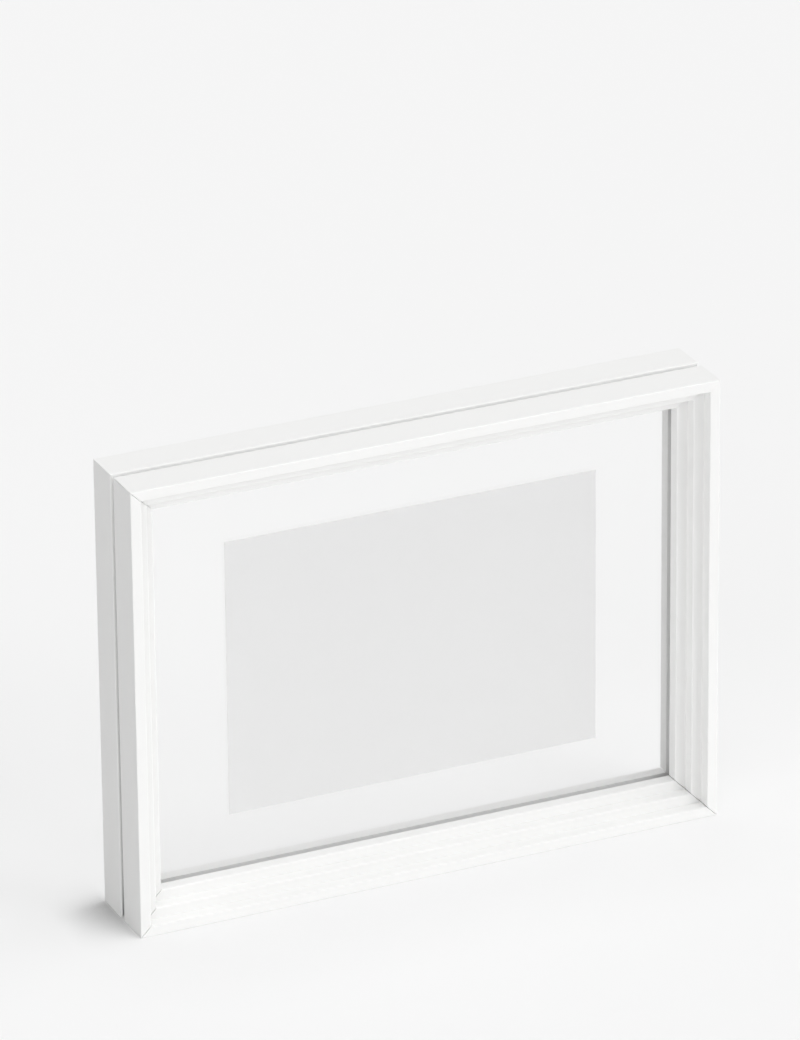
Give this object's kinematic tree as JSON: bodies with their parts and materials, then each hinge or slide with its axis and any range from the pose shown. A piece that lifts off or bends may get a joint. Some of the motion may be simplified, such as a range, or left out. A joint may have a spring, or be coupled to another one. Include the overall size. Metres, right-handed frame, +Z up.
{
  "type": "tabletop photo frame",
  "caption": "Deep free-standing see-through photo frame with stepped white moulding front and back, clear panes at mid depth and a print floating between them.",
  "frame": {"origin": "middle of the underside, on the surface that the frame stands on, at the parting plane between the front half and the back half", "axes": "+X along the width, to the right seen from the front; +Y to the back; +Z up"},
  "size_m": [0.282, 0.041, 0.213],
  "materials": {
    "white_paint": "satin white paint on fine fibreboard",
    "clear_glass": "clear float glass, ground edges",
    "print_paper": "plain pale grey print on matt photo paper",
    "nail_steel": "bright hardened strip steel",
    "magnet_nickel": "nickel plate, bright",
    "dowel_beech": "bare beech"
  },
  "bodies": {
    "front_half": {"front_rail_top": "white_paint", "front_rail_bottom": "white_paint", "front_rail_left": "white_paint", "front_rail_right": "white_paint", "front_pane": "clear_glass", "front_corner_nail_top_left": "nail_steel", "front_corner_nail_top_right": "nail_steel", "front_corner_nail_bottom_left": "nail_steel", "front_corner_nail_bottom_right": "nail_steel", "front_magnet_top_left": "magnet_nickel", "front_magnet_top_right": "magnet_nickel", "front_magnet_bottom_left": "magnet_nickel", "front_magnet_bottom_right": "magnet_nickel"},
    "back_half": {"back_rail_top": "white_paint", "back_rail_bottom": "white_paint", "back_rail_left": "white_paint", "back_rail_right": "white_paint", "back_pane": "clear_glass", "back_corner_nail_top_left": "nail_steel", "back_corner_nail_top_right": "nail_steel", "back_corner_nail_bottom_left": "nail_steel", "back_corner_nail_bottom_right": "nail_steel", "back_magnet_top_left": "magnet_nickel", "back_magnet_top_right": "magnet_nickel", "back_magnet_bottom_left": "magnet_nickel", "back_magnet_bottom_right": "magnet_nickel", "dowel_left": "dowel_beech", "dowel_right": "dowel_beech"},
    "print": {"photo_print": "print_paper"}
  },
  "joints": [
    {"name": "back_half_slide", "type": "slide", "parent": "front_half", "child": "back_half", "axis": [0, 1, 0], "range_m": [0, 0.06]},
    {"name": "print_slide", "type": "slide", "parent": "front_half", "child": "print", "axis": [0, 1, 0], "range_m": [0, 0.03]}
  ],
  "couplings": [
    {"joint": "print_slide", "follows": "back_half_slide", "ratio": 0.5}
  ]
}
